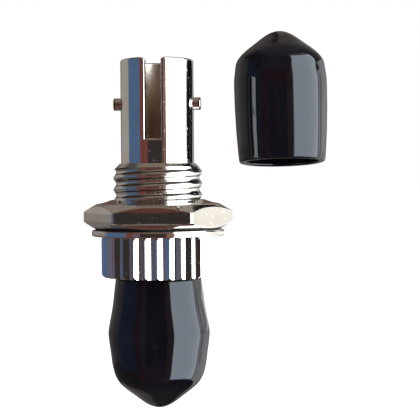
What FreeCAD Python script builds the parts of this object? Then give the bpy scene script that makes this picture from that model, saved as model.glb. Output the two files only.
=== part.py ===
import FreeCAD, Part
import os

import Sketcher

# Simplex fibre adapter with two bayonet ports, in millimetres.
# The origin is the middle of the alignment sleeve, where two ferrules meet.
# +Z runs up the axis to the bare front port, and both keyways face -Y.

SIZES = [
    ("barrel_diameter", 7.0, "outside of both bayonet barrels"),
    ("port_bore", 5.0, "bore that takes the plug's nose"),
    ("port_reach", 15.2, "from the mating plane to each barrel's rim"),
    ("rim_bevel", 0.2, "eased edges of the barrel's rim"),
    ("keyway_width", 1.5, "slot for the plug's key"),
    ("keyway_bevel", 0.28, "eased outer edges of the slot"),
    ("keyway_root", 5.3, "height of the slot's lower end"),
    ("lug_diameter", 1.2, "bayonet lug"),
    ("lug_height", 0.7, "how far a lug stands out of the barrel"),
    ("lug_setback", 4.2, "from the rim to the lug's middle"),
    ("lug_round", 0.18, "rounding of the lug's free end"),
    ("lug_fit", 0.01, "radial room round a pressed lug"),
    ("thread_diameter", 8.5, "outside of the panel thread"),
    ("thread_top", 5.3, "height of the upper end of the thread"),
    ("thread_lead_in", 0.6, "bevel at the upper end of the thread"),
    ("thread_pitch", 1.1, "panel thread, right-handed"),
    ("thread_depth", 0.32, "depth of the groove between two crests"),
    ("thread_crest", 0.2, "flat crest of the thread"),
    ("thread_root", 0.25, "flat root of the thread"),
    ("collar_drop", 1.6, "from the mating plane down to the collar's seat"),
    ("collar_diameter", 10.9, "over the knurl"),
    ("collar_height", 4.1, "grip collar"),
    ("collar_bevel", 0.3, "eased ends of the collar"),
    ("knurl_count", 30, "straight ridges round the collar"),
    ("knurl_depth", 0.45, "depth of the V between two ridges"),
    ("spigot_diameter", 7.6, "spigot that joins the two housings"),
    ("spigot_length", 3.0, "depth of the spigot in the collar"),
    ("spigot_fit", 0.01, "radial room round the spigot"),
    ("holder_diameter", 5.6, "outside of the sleeve holders"),
    ("holder_reach", 7.6, "from the mating plane to the holder's face"),
    ("holder_fit", 0.02, "radial room round the holders"),
    ("entry_diameter", 3.0, "ferrule opening in a holder"),
    ("entry_flare", 0.5, "bevel that guides the ferrule in"),
    ("sleeve_bore", 2.5, "inside of the alignment sleeve"),
    ("sleeve_wall", 0.35, "wall of the alignment sleeve"),
    ("sleeve_length", 11.4, "alignment sleeve"),
    ("sleeve_gap", 0.4, "slit along the alignment sleeve"),
    ("sleeve_fit", 0.05, "room round the alignment sleeve"),
    ("washer_diameter", 12.7, "washer"),
    ("washer_thickness", 0.6, "washer"),
    ("washer_bevel", 0.2, "eased outer edges of the washer"),
    ("washer_fit", 0.12, "radial room between washer and thread"),
    ("nut_flats", 12.7, "across the flats of the nut"),
    ("nut_corners", 14.4, "across the turned corners of the nut"),
    ("nut_thickness", 2.4, "nut"),
    ("nut_face_diameter", 11.7, "flat ring on each side of the nut"),
    ("nut_bevel_angle", 30, "slope of the nut's turned bevels, in degrees"),
    ("nut_lip_height", 0.3, "raised ring round the nut's bore"),
    ("nut_lip_width", 0.85, "raised ring round the nut's bore"),
    ("nut_fit", 0.05, "radial room between nut and thread"),
    ("nut_turn_angle", 2.0, "turn of the nut on its thread, in degrees"),
    ("cap_wall", 0.6, "wall of the dust caps"),
    ("cap_fit", 0.05, "room round the barrel inside a cap"),
    ("cap_seat_gap", 0.1, "from the collar to the fitted cap's mouth"),
    ("cap_lug_fit", 0.1, "room over a lug inside the fitted cap"),
    ("cap_waist", 0.15, "slack beside the lugs in the fitted cap"),
    ("cap_shoulder_diameter", 8.8, "where the cap's sides meet its nose"),
    ("cap_shoulder_length", 0.95, "straight stretch under the cone's foot"),
    ("cap_rim_room", 0.2, "from the barrel's rim to the level of the cone's foot"),
    ("cap_nose_rise", 2.85, "from the cone's foot to the tip"),
    ("cap_tip_diameter", 1.8, "blunt end of the cone before rounding"),
    ("cap_shoulder_round", 1.5, "rounding at the foot of the cone"),
    ("cap_tip_round", 2.0, "rounding of the tip"),
    ("cap_lip_bevel", 0.18, "eased edges of the lip of the cap taken off"),
    ("loose_cap_belly_diameter", 9.39, "widest part of the cap taken off"),
    ("loose_cap_belly_height", 7.1, "from its mouth to its widest part"),
    ("loose_cap_ratio", 1.05, "size of the relaxed cap against the fitted one, a ratio"),
    ("loose_cap_offset", 11.8, "from the adapter's axis sideways to the cap taken off"),
    ("loose_cap_setback", 5.5, "from the adapter's axis back to the cap taken off"),
    ("loose_cap_mouth", 5.6, "height of the mouth of the cap taken off"),
    ("loose_cap_lean", 5.0, "mouth of the cap taken off turns to -Y, in degrees"),
    ("loose_cap_roll", 1.2, "tip of the cap taken off turns to -X, in degrees"),
]

# Room that a cutting outline leaves beyond the metal that it removes.
OVERRUN = 1.0

# Two lengths closer than this are the same.
NEAR = 1e-4

# Heights above a cap's mouth. Both caps are made to cover one barrel.
CAP_COVER = "( port_reach - collar_drop - collar_height - cap_seat_gap )"
CAP_CONE_FOOT = f"( {CAP_COVER} + cap_rim_room )"
CAP_NOSE_START = f"( {CAP_CONE_FOOT} - cap_shoulder_length )"
CAP_TIP = f"( {CAP_CONE_FOOT} + cap_nose_rise )"

doc = FreeCAD.newDocument("fibre_adapter")


def make_sheet():
    """Put the driving sizes in a sheet, one row each: name, value, meaning."""
    sheet = doc.addObject("Spreadsheet::Sheet", "Sizes")
    for row, (alias, value, meaning) in enumerate(SIZES, start=1):
        sheet.set(f"A{row}", alias)
        sheet.set(f"B{row}", str(value))
        sheet.set(f"C{row}", meaning)
        sheet.setAlias(f"B{row}", alias)
    doc.recompute()
    return sheet


def size(formula):
    """Turn a formula over plain size names into one that reads the sheet."""
    words = formula.replace("(", "( ").replace(")", " )").split()
    names = {alias for alias, value, meaning in SIZES}
    return " ".join(f"Sizes.{word}" if word in names else word for word in words)


def make_body(label):
    """Start one sub-part."""
    body = doc.addObject("PartDesign::Body", label)
    body.Label = label
    return body


def make_sketch(body, name, plane, height="0"):
    """Attach an empty sketch to one of the body's own planes, raised by height."""
    sketch = body.newObject("Sketcher::SketchObject", f"{body.Label}_{name}")
    support = [item for item in body.Origin.OriginFeatures if item.Role == plane]
    sketch.AttachmentSupport = [(support[0], "")]
    sketch.MapMode = "FlatFace"
    sketch.setExpression("AttachmentOffset.Base.z", size(height))
    return sketch


def bind(sketch, constraint, formula):
    """Add a constraint and tie its value to a formula over the sizes."""
    index = sketch.addConstraint(constraint)
    sketch.setExpression(f"Constraints[{index}]", size(formula))


def outline(body, name, plane, corners, height="0"):
    """Sketch a closed outline of straight sides, each corner given by two formulas."""
    sketch = make_sketch(body, name, plane, height)
    count = len(corners)
    start = [FreeCAD.Vector(1 + i, i * i, 0) for i in range(count)]
    for i in range(count):
        sketch.addGeometry(Part.LineSegment(start[i], start[(i + 1) % count]), False)
    for i in range(count):
        sketch.addConstraint(Sketcher.Constraint("Coincident", i, 2, (i + 1) % count, 1))
    for i, (across, up) in enumerate(corners):
        bind(sketch, Sketcher.Constraint("DistanceX", -1, 1, i, 1, start[i].x), across)
        bind(sketch, Sketcher.Constraint("DistanceY", -1, 1, i, 1, start[i].y), up)
    return sketch


def circle(body, name, plane, diameter, up="0", height="0"):
    """Sketch a circle on the plane's upright axis."""
    sketch = make_sketch(body, name, plane, height)
    sketch.addGeometry(Part.Circle(FreeCAD.Vector(0, 1, 0), FreeCAD.Vector(0, 0, 1), 1), False)
    sketch.addConstraint(Sketcher.Constraint("PointOnObject", 0, 3, -2))
    bind(sketch, Sketcher.Constraint("DistanceY", -1, 1, 0, 3, 1), up)
    bind(sketch, Sketcher.Constraint("Diameter", 0, 2), diameter)
    return sketch


def ellipse(body, name, width, depth, height):
    """Sketch an ellipse about the axis, wide along X and less deep along Y."""
    sketch = make_sketch(body, name, "XY_Plane", height)
    wide = FreeCAD.Vector(2, 0, 0)
    deep = FreeCAD.Vector(0, 1, 0)
    sketch.addGeometry(Part.Ellipse(wide, deep, FreeCAD.Vector(0, 0, 0)), False)
    sketch.exposeInternalGeometry(0)
    sketch.addConstraint(Sketcher.Constraint("Coincident", 0, 3, -1, 1))
    sketch.addConstraint(Sketcher.Constraint("Horizontal", 1))
    bind(sketch, Sketcher.Constraint("Distance", 1, 4), width)
    bind(sketch, Sketcher.Constraint("Distance", 2, 2), depth)
    return sketch


def must_cut(body, feature, before):
    """Stop if a cutting feature took nothing away from the body."""
    if body.Shape.Volume >= before:
        raise RuntimeError(f"{feature.Name} cuts nothing")


def turn(body, name, corners):
    """Turn an outline of radius and height about the axis."""
    return turned_feature(body, name, corners, "Revolution")


def turn_away(body, name, corners):
    """Cut away what an outline of radius and height covers when it is turned."""
    before = body.Shape.Volume
    feature = turned_feature(body, name, corners, "Groove")
    must_cut(body, feature, before)
    return feature


def turned_feature(body, name, corners, kind):
    """Sketch an outline of radius and height and turn it about the axis."""
    sketch = outline(body, f"{name}_outline", "XZ_Plane", corners)
    feature = body.newObject(f"PartDesign::{kind}", f"{body.Label}_{name}")
    feature.Profile = sketch
    feature.ReferenceAxis = (sketch, ["V_Axis"])
    feature.Angle = 360
    doc.recompute()
    return feature


def cut(body, name, sketch, length=None, upward=False):
    """Cut a sketch away by a length, or right through both ways."""
    before = body.Shape.Volume
    feature = body.newObject("PartDesign::Pocket", f"{body.Label}_{name}")
    feature.Profile = sketch
    if length is None:
        feature.Type = "ThroughAll"
        feature.Midplane = True
    else:
        feature.setExpression("Length", size(length))
        feature.Reversed = upward
    doc.recompute()
    must_cut(body, feature, before)
    return feature


def round_edges(body, name, radius, wanted):
    """Round every edge of the body that passes the test."""
    base = body.Tip
    names = [f"Edge{i}" for i, edge in enumerate(base.Shape.Edges, start=1) if wanted(edge)]
    feature = body.newObject("PartDesign::Fillet", f"{body.Label}_{name}")
    feature.Base = (base, names)
    feature.setExpression("Radius", size(radius))
    doc.recompute()
    return feature


def is_ring(edge, radius):
    """Tell whether an edge is a circle of this radius."""
    return isinstance(edge.Curve, Part.Circle) and abs(edge.Curve.Radius - radius) < NEAR


def round_end(body, name, radius, ring_radius, toward):
    """Round the ring of one radius that lies farthest up (1) or down (-1)."""
    rings = [edge for edge in body.Shape.Edges if is_ring(edge, ring_radius)]
    end = max(toward * ring.Curve.Center.z for ring in rings)

    def at_end(edge):
        return is_ring(edge, ring_radius) and abs(toward * edge.Curve.Center.z - end) < NEAR

    round_edges(body, name, radius, at_end)


def cut_port(body, toward):
    """Cut the keyway and the lug holes of one barrel, up (1) or down (-1)."""
    half = "keyway_width / 2"
    shoulder = "- ( barrel_diameter / 2 - keyway_bevel )"
    wide = f"keyway_width / 2 + keyway_bevel + {OVERRUN}"
    outside = f"- ( barrel_diameter / 2 + {OVERRUN} )"
    corners = [
        (f"- ( {half} )", "0"),
        (f"- ( {half} )", shoulder),
        (f"- ( {wide} )", outside),
        (wide, outside),
        (half, shoulder),
        (half, "0"),
    ]
    sketch = outline(body, "keyway_outline", "XY_Plane", corners, f"{toward} * keyway_root")
    length = f"port_reach - keyway_root + {OVERRUN}"
    cut(body, "keyway", sketch, length, upward=toward > 0)
    hole = circle(body, "lug_hole", "YZ_Plane", "lug_diameter + 2 * lug_fit",
                  f"{toward} * ( port_reach - lug_setback )")
    cut(body, "lug_holes", hole)


def make_front_housing():
    """Front barrel, panel thread and the spigot that enters the rear housing."""
    body = make_body("front_housing")
    barrel = "barrel_diameter / 2"
    port = "port_bore / 2"
    pocket = "holder_diameter / 2 + holder_fit"
    spigot_end = "- ( collar_drop + spigot_length )"
    turn(body, "turned", [
        (pocket, spigot_end),
        ("spigot_diameter / 2", spigot_end),
        ("spigot_diameter / 2", "- collar_drop"),
        ("thread_diameter / 2", "- collar_drop"),
        ("thread_diameter / 2", "thread_top - thread_lead_in"),
        ("thread_diameter / 2 - thread_lead_in", "thread_top"),
        (barrel, "thread_top"),
        (barrel, "port_reach - rim_bevel"),
        (f"{barrel} - rim_bevel", "port_reach"),
        (f"{port} + rim_bevel", "port_reach"),
        (port, "port_reach - rim_bevel"),
        (port, "holder_reach"),
        (pocket, "holder_reach"),
    ])
    cut_thread(body)
    cut_port(body, 1)
    return body


def cut_thread(body):
    """Wind the groove of the panel thread up the neck, one pitch for each turn."""
    crest = "thread_diameter / 2"
    root = f"{crest} - thread_depth"
    outside = f"{crest} + thread_depth"
    middle = "- collar_drop"
    half_root = "thread_root / 2"
    half_mouth = "( thread_pitch - thread_crest ) / 2"
    sketch = outline(body, "thread_groove", "XZ_Plane", [
        (root, f"{middle} - {half_root}"),
        (crest, f"{middle} - {half_mouth}"),
        (outside, f"{middle} - {half_mouth}"),
        (outside, f"{middle} + {half_mouth}"),
        (crest, f"{middle} + {half_mouth}"),
        (root, f"{middle} + {half_root}"),
    ])
    before = body.Shape.Volume
    groove = body.newObject("PartDesign::SubtractiveHelix", f"{body.Label}_thread")
    groove.Profile = sketch
    groove.ReferenceAxis = (sketch, ["V_Axis"])
    groove.Mode = "pitch-height-angle"
    groove.setExpression("Pitch", size("thread_pitch"))
    groove.setExpression("Height", size("thread_top + collar_drop + thread_pitch"))
    doc.recompute()
    must_cut(body, groove, before)


def make_rear_housing():
    """Knurled grip collar with the rear barrel under it."""
    body = make_body("rear_housing")
    barrel = "barrel_diameter / 2"
    port = "port_bore / 2"
    pocket = "holder_diameter / 2 + holder_fit"
    socket = "spigot_diameter / 2 + spigot_fit"
    collar = "collar_diameter / 2"
    collar_end = "- ( collar_drop + collar_height )"
    socket_end = "- ( collar_drop + spigot_length )"
    turn(body, "turned", [
        (socket, "- collar_drop"),
        (f"{collar} - collar_bevel", "- collar_drop"),
        (collar, "- collar_drop - collar_bevel"),
        (collar, f"{collar_end} + collar_bevel"),
        (f"{collar} - collar_bevel", collar_end),
        (barrel, collar_end),
        (barrel, "- ( port_reach - rim_bevel )"),
        (f"{barrel} - rim_bevel", "- port_reach"),
        (f"{port} + rim_bevel", "- port_reach"),
        (port, "- ( port_reach - rim_bevel )"),
        (port, "- holder_reach"),
        (pocket, "- holder_reach"),
        (pocket, socket_end),
        (socket, socket_end),
    ])
    cut_port(body, -1)
    add_knurl(body, collar)
    return body


def add_knurl(body, collar):
    """Cut one V groove down the back of the collar and repeat it round the axis."""
    groove = outline(body, "knurl_outline", "XY_Plane", [
        ("0", f"{collar} - knurl_depth"),
        (f"knurl_depth + {OVERRUN}", f"{collar} + {OVERRUN}"),
        (f"- ( knurl_depth + {OVERRUN} )", f"{collar} + {OVERRUN}"),
    ])
    first = cut(body, "knurl_groove", groove, f"collar_drop + collar_height + {OVERRUN}")
    pattern = body.newObject("PartDesign::PolarPattern", f"{body.Label}_knurl")
    pattern.Originals = [first]
    pattern.Axis = (groove, ["N_Axis"])
    pattern.Angle = 360
    pattern.setExpression("Occurrences", size("knurl_count"))
    body.Tip = pattern
    doc.recompute()


def make_holder(label, toward):
    """Turned holder for half of the alignment sleeve, up (1) or down (-1)."""
    body = make_body(label)
    outer = "holder_diameter / 2"
    nest = "sleeve_bore / 2 + sleeve_wall + sleeve_fit"
    entry = "entry_diameter / 2"
    lip = f"{toward} * ( sleeve_length / 2 + sleeve_fit )"
    turn(body, "turned", [
        (nest, "0"),
        (outer, "0"),
        (outer, f"{toward} * ( holder_reach - holder_fit )"),
        (f"{entry} + entry_flare", f"{toward} * ( holder_reach - holder_fit )"),
        (entry, f"{toward} * ( holder_reach - holder_fit - entry_flare )"),
        (entry, lip),
        (nest, lip),
    ])
    return body


def make_alignment_sleeve():
    """Split sleeve that lines up the two ferrules, with its slit at the back."""
    body = make_body("alignment_sleeve")
    end = "sleeve_length / 2"
    turn(body, "tube", [
        ("sleeve_bore / 2", f"- {end}"),
        ("sleeve_bore / 2 + sleeve_wall", f"- {end}"),
        ("sleeve_bore / 2 + sleeve_wall", end),
        ("sleeve_bore / 2", end),
    ])
    slit = outline(body, "slit_outline", "XY_Plane", [
        ("- sleeve_gap / 2", "0"),
        ("sleeve_gap / 2", "0"),
        ("sleeve_gap / 2", f"sleeve_bore / 2 + sleeve_wall + {OVERRUN}"),
        ("- sleeve_gap / 2", f"sleeve_bore / 2 + sleeve_wall + {OVERRUN}"),
    ], f"{end} + {OVERRUN}")
    cut(body, "slit", slit, f"sleeve_length + 2 * {OVERRUN}")
    return body


def make_lug(label, side, end):
    """Pressed lug on one side (1 is +X) of the front (1) or rear (-1) barrel."""
    body = make_body(label)
    inner = "port_bore / 2 + lug_fit"
    tip = "barrel_diameter / 2 + lug_height"
    turn(body, "pin", [
        ("0", inner),
        ("lug_diameter / 2", inner),
        ("lug_diameter / 2", f"{tip} - lug_round"),
        ("lug_diameter / 2 - lug_round", tip),
        ("0", tip),
    ])
    body.Placement.Rotation = FreeCAD.Rotation(FreeCAD.Vector(0, 1, 0), 90 * side)
    body.setExpression("Placement.Base.z", size(f"{end} * ( port_reach - lug_setback )"))
    return body


def make_washer():
    """Flat washer that rests on the collar."""
    body = make_body("panel_washer")
    bore = "thread_diameter / 2 + washer_fit"
    outer = "washer_diameter / 2"
    turn(body, "ring", [
        (bore, "0"),
        (f"{outer} - washer_bevel", "0"),
        (outer, "washer_bevel"),
        (outer, "washer_thickness - washer_bevel"),
        (f"{outer} - washer_bevel", "washer_thickness"),
        (bore, "washer_thickness"),
    ])
    body.setExpression("Placement.Base.z", size("- collar_drop"))
    return body


def make_nut():
    """Hexagon nut, bevelled on both sides, with a raised ring round its bore."""
    body = make_body("panel_nut")
    corner = "nut_flats / sqrt(3)"
    hexagon = outline(body, "hexagon", "XY_Plane", [
        (corner, "0"),
        (f"{corner} / 2", "nut_flats / 2"),
        (f"- {corner} / 2", "nut_flats / 2"),
        (f"- {corner}", "0"),
        (f"- {corner} / 2", "- nut_flats / 2"),
        (f"{corner} / 2", "- nut_flats / 2"),
    ])
    pad = body.newObject("PartDesign::Pad", "panel_nut_blank")
    pad.Profile = hexagon
    pad.setExpression("Length", size("nut_thickness"))
    doc.recompute()
    face = "nut_face_diameter / 2"
    turned = "nut_corners / 2"
    drop = f"( {turned} - {face} ) * tan( nut_bevel_angle * 1 deg )"
    clear = f"{corner} + {OVERRUN}"
    turn_away(body, "bevels", [
        (face, "0"),
        (turned, drop),
        (turned, f"nut_thickness - {drop}"),
        (face, "nut_thickness"),
        (clear, "nut_thickness"),
        (clear, "0"),
    ])
    bore = "thread_diameter / 2 + nut_fit"
    turn(body, "lip", [
        (bore, "nut_thickness / 2"),
        (f"{bore} + nut_lip_width", "nut_thickness / 2"),
        (f"{bore} + nut_lip_width", "nut_thickness"),
        (f"{bore} + nut_lip_height", "nut_thickness + nut_lip_height"),
        (bore, "nut_thickness + nut_lip_height"),
    ])
    cut(body, "bore", circle(body, "bore_circle", "XY_Plane", f"2 * ( {bore} )"))
    body.setExpression("Placement.Base.z", size("washer_thickness - collar_drop"))
    body.setExpression("Placement.Rotation.Angle", size("nut_turn_angle * 1 deg"))
    return body


def add_nose(body, value, toward, growth="1", grown=1.0):
    """Close a cap with its blunt rounded cone, up (1) or down (-1), larger by growth."""
    shoulder = f"{growth} * cap_shoulder_diameter / 2"
    tip = f"{growth} * cap_tip_diameter / 2"
    along = f"{toward} * {growth}"
    turn(body, "nose", [
        ("0", f"{along} * {CAP_NOSE_START}"),
        (shoulder, f"{along} * {CAP_NOSE_START}"),
        (shoulder, f"{along} * {CAP_CONE_FOOT}"),
        (tip, f"{along} * {CAP_TIP}"),
        ("0", f"{along} * {CAP_TIP}"),
    ])
    for name in ("shoulder", "tip"):
        ring = grown * value[f"cap_{name}_diameter"] / 2
        round_end(body, name, f"{growth} * cap_{name}_round", ring, toward)


def hollow_nose(body, toward, growth="1"):
    """Cut the inside of the nose, one wall under its outside."""
    shoulder = f"{growth} * cap_shoulder_diameter / 2 - cap_wall"
    run = "( ( cap_shoulder_diameter - cap_tip_diameter ) / 2 )"
    slope = f"atan( cap_nose_rise / {run} )"
    foot = f"{growth} * {CAP_CONE_FOOT} - cap_wall * tan( 45 deg - {slope} / 2 )"
    tip = f"{growth} * cap_tip_diameter / 2 - cap_wall * tan( {slope} / 2 )"
    end = f"{toward} * ( {growth} * {CAP_TIP} - cap_wall )"
    start = f"{toward} * {growth} * {CAP_NOSE_START}"
    turn_away(body, "nose_hollow", [
        ("0", start),
        (shoulder, start),
        (shoulder, f"{toward} * ( {foot} )"),
        (tip, end),
        ("0", end),
    ])


def make_rear_cap(value):
    """Soft cap pushed over the rear barrel and stretched sideways by the lugs."""
    body = make_body("rear_dust_cap")
    mouth = "barrel_diameter / 2 + cap_fit"
    over_lugs = "barrel_diameter / 2 + lug_height + cap_lug_fit"
    beside_lugs = "barrel_diameter / 2 + cap_fit + cap_waist"
    lug_drop = "port_reach - lug_setback - collar_drop - collar_height - cap_seat_gap"
    above = f"- ( {lug_drop} - lug_diameter / 2 )"
    below = f"- ( {lug_drop} + lug_diameter / 2 )"
    shoulder = f"- {CAP_NOSE_START}"

    def sections(name, wall):
        inset = f"( {wall} )"
        return [
            circle(body, f"{name}_mouth", "XY_Plane", f"2 * ( {mouth} + {inset} )"),
            ellipse(body, f"{name}_above_lugs", f"2 * ( {over_lugs} + {inset} )",
                    f"2 * ( {beside_lugs} + {inset} )", above),
            ellipse(body, f"{name}_below_lugs", f"2 * ( {over_lugs} + {inset} )",
                    f"2 * ( {beside_lugs} + {inset} )", below),
            circle(body, f"{name}_shoulder", "XY_Plane",
                   f"cap_shoulder_diameter - 2 * cap_wall + 2 * {inset}", "0", shoulder),
        ]

    def loft(kind, name, rings):
        feature = body.newObject(f"PartDesign::{kind}", f"{body.Label}_{name}")
        feature.Profile = rings[0]
        feature.Sections = rings[1:]
        feature.Ruled = True
        doc.recompute()
        return feature

    loft("AdditiveLoft", "skirt", sections("outside", "cap_wall"))
    add_nose(body, value, -1)
    before = body.Shape.Volume
    hollow = loft("SubtractiveLoft", "skirt_hollow", sections("inside", "0"))
    must_cut(body, hollow, before)
    hollow_nose(body, -1)
    body.setExpression("Placement.Base.z", size("- ( collar_drop + collar_height + cap_seat_gap )"))
    return body


def make_front_cap(value):
    """Soft cap taken off the front barrel, bellied where the lugs stretched it."""
    body = make_body("front_dust_cap")
    growth = "loose_cap_ratio"
    mouth = f"{growth} * ( barrel_diameter / 2 + cap_fit + cap_wall )"
    belly = "loose_cap_belly_diameter / 2"
    shoulder = f"{growth} * cap_shoulder_diameter / 2"
    nose = f"{growth} * {CAP_NOSE_START}"
    turn(body, "skirt", [
        ("0", "0"),
        (f"{mouth} - cap_lip_bevel", "0"),
        (mouth, "cap_lip_bevel"),
        (belly, "loose_cap_belly_height"),
        (shoulder, nose),
        ("0", nose),
    ])
    add_nose(body, value, 1, growth, value[growth])
    turn_away(body, "skirt_hollow", [
        ("0", "0"),
        (f"{mouth} - cap_wall + cap_lip_bevel", "0"),
        (f"{mouth} - cap_wall", "cap_lip_bevel"),
        (f"{belly} - cap_wall", "loose_cap_belly_height"),
        (f"{shoulder} - cap_wall", nose),
        ("0", nose),
    ])
    hollow_nose(body, 1, growth)
    lean = FreeCAD.Rotation(FreeCAD.Vector(1, 0, 0), -value["loose_cap_lean"])
    roll = FreeCAD.Rotation(FreeCAD.Vector(0, 1, 0), -value["loose_cap_roll"])
    body.Placement.Rotation = roll.multiply(lean)
    body.setExpression("Placement.Base.x", size("loose_cap_offset"))
    body.setExpression("Placement.Base.y", size("loose_cap_setback"))
    body.setExpression("Placement.Base.z", size("loose_cap_mouth"))
    return body


def check(parts):
    """Stop if any object of the document failed or a sub-part is not one sound solid."""
    for item in doc.Objects:
        if "Invalid" in item.State or "Error" in item.State:
            raise RuntimeError(f"{item.Name} failed: {item.State}")
    for part in parts:
        shape = part.Shape
        if shape.isNull() or not shape.isValid() or len(shape.Solids) != 1:
            raise RuntimeError(f"{part.Label} is not one sound solid")


def main():
    """Build every sub-part, check them all and write one file each."""
    sheet = make_sheet()
    value = {alias: float(sheet.get(alias)) for alias, number, meaning in SIZES}
    parts = [
        make_front_housing(),
        make_rear_housing(),
        make_holder("front_sleeve_holder", 1),
        make_holder("rear_sleeve_holder", -1),
        make_alignment_sleeve(),
        make_washer(),
        make_nut(),
        make_rear_cap(value),
        make_front_cap(value),
    ]
    for end_name, end in (("front", 1), ("rear", -1)):
        for side_name, side in (("left", -1), ("right", 1)):
            parts.append(make_lug(f"{end_name}_{side_name}_lug", side, end))
    doc.recompute()
    check(parts)
    os.makedirs("parts", exist_ok=True)
    for part in parts:
        part.Shape.exportStep(f"parts/{part.Label}.step")
        print(part.Label, round(part.Shape.Volume, 3), part.Shape.BoundBox)


main()
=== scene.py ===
import math

import bmesh
import bpy
import numpy as np
from mathutils import Matrix, Vector


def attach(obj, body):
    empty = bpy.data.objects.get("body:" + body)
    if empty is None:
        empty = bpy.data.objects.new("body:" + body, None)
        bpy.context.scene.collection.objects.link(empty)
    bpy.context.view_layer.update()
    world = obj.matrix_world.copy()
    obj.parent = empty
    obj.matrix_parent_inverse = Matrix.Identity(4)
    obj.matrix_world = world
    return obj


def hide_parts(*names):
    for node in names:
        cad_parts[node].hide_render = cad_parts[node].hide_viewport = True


# Simplex fibre adapter with its two dust caps. Shapes are worked out in millimetres,
# in the frame of the solids: +Z up the axis to the bare port, both keyways towards -Y.

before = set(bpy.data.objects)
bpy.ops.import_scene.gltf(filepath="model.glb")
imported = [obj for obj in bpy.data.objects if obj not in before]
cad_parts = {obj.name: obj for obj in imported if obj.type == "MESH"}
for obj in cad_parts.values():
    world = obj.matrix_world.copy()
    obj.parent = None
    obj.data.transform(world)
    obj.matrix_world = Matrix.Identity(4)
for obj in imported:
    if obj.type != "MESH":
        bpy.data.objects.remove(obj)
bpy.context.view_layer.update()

MM = 0.001
FULL_TURN = 2 * math.pi
QUARTER_TURN = math.pi / 2

# Points of a mesh that lie closer together than this, in metres, become one
MERGE_WITHIN = 1e-8

# Easing of corners: how much of a side one curve may take up, and how many reaches from the
# corner a further point lies that keeps the side straight. Further down, the eases of a piece
# are the reaches at the corners of its profile, in their order.
EASE_LIMIT = 0.42
EASE_SHOULDER = 1.12

# Points along the curve of an edge, and how near to an edge the next row lies
EDGE_STEPS = 9
NEAR_EDGE = 0.03

# Barrels: the slot's flare has rows at the last depths, counted from the rim
BARREL_RADIUS = 3.5
PORT_RADIUS = 2.5
PORT_REACH = 15.2
POCKET_RADIUS = 2.82
FRONT_FOOT = 5.0
REAR_FOOT = 5.4
RIM_ROUND = 0.22
RIM_SHOULDER = 1.08
KEYWAY_HALF = 0.75
KEYWAY_EASE = 0.24
KEYWAY_CORNER = 0.34
BORE_EDGE = 0.08
FLARE_LIMIT = 0.97
FLARE_DROPS = (KEYWAY_CORNER, 0.3, 0.26)

# Lugs: the end of a lug by distance from its own axis and depth under its tip
LUG_RADIUS = 0.6
LUG_END = 4.2
LUG_SEAT = 0.2
LUG_HEIGHT = 11.0
LUG_DISH = ((0.0, 0.06), (0.3, 0.05), (0.42, 0.0), (LUG_RADIUS, 0.02))
LUG_EASE = (0.0, 0.06, 0.06, 0.12, 0.05, 0.0)
LUG_COLUMNS = 40

# Threaded neck with its spigot
THREAD_RADIUS = 4.25
THREAD_DEPTH = 0.26
THREAD_PITCH = 1.1
THREAD_TOP = 5.3
THREAD_LEAD_IN = 0.6
THREAD_SOFT = 0.03
THREAD_ROWS = 250
THREAD_COLUMNS = 240
SPIGOT_RADIUS = 3.8
SPIGOT_END = -4.6

# Grip collar
COLLAR_TOP = -1.6
COLLAR_END = -5.5
COLLAR_RADIUS = 5.45
COLLAR_BEVEL = 0.2
COLLAR_EASE = (0.02, 0.1, 0.12, 0.12, 0.1, 0.02, 0.02, 0.02)
BEVEL_FOOT = 0.02
RIDGES = 30
RIDGE_DEPTH = 0.4
RIDGE_ROOT = 0.25
RIDGE_COLUMNS = 32
SOCKET_RADIUS = SPIGOT_RADIUS + 0.01
SOCKET_END = SPIGOT_END - 0.02

# Bushes that hold the sleeve, the key of the front one, and the split sleeve
HOLDER_END = 7.58
HOLDER_RADIUS = 2.8
HOLDER_ENTRY = 1.5
HOLDER_FLARE = 2.0
HOLDER_FLARE_DEPTH = 0.5
HOLDER_NEST = 1.65
HOLDER_NEST_END = 5.75
HOLDER_EASE = (0.02, 0.05, 0.16, 0.08, 0.08, 0.03, 0.02)
HOLDER_COLUMNS = 120
HOLDER_ROOM = 0.02
KEY_RADIUS = 3.488
KEY_HALF = 1.0
KEY_BACK = -2.5
KEY_ROUND = 0.16
KEY_FOOT = 5.05
KEY_COLUMNS = 25
KEY_STEPS = 7
SLEEVE_RADIUS = 1.6
SLEEVE_BORE = 1.25
SLEEVE_SLIT_HALF = 0.2
SLEEVE_SLIT_EASE = 0.03
SLEEVE_END = 5.7
SLEEVE_SHOULDER = 5.62
SLEEVE_BEVEL = 0.25
SLEEVE_COLUMNS = 60

# Nut: its cone by distance from the bore and share of the lip's rise
NUT_SIDES = 6
NUT_FLAT = 6.29
NUT_CORNER = 7.2
NUT_FACE = 5.88
NUT_BOTTOM = -1.0
NUT_TOP = 1.48
NUT_LIP_TOP = 1.86
NUT_LIP_WIDTH = 0.15
NUT_LIP_BEVEL = 0.1
NUT_CONE = ((1.15, 0.14), (0.6, 0.55))
NUT_BORE = 4.3
NUT_BORE_BEVEL = 0.25
NUT_DOME = 7.5
NUT_SLOPE = math.tan(math.radians(30))
NUT_TURN = math.radians(2)
NUT_SOFT = 0.006
NUT_ROWS = 8
NUT_COLUMNS = 48
NUT_EASE_BELOW = (0.08, 0.08, 0.3)
NUT_EASE_SIDE = 0.3
NUT_EASE_ABOVE = (0.4, 0.3, 0.25, 0.07, 0.05)

# Washer
WASHER_RADIUS = 6.35
WASHER_BORE = 4.37
WASHER_ROLL_ACROSS = 0.14
WASHER_ROLL_DOWN = 0.12
WASHER_EASE = (0.05, 0.16, 0.12, 0.06, 0.05)
WASHER_COLUMNS = 240
# How far under the nut the washer's top is darkened with painted shade and rubbed dull
WASHER_SHADE_AND_RUB = 0.04

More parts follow.
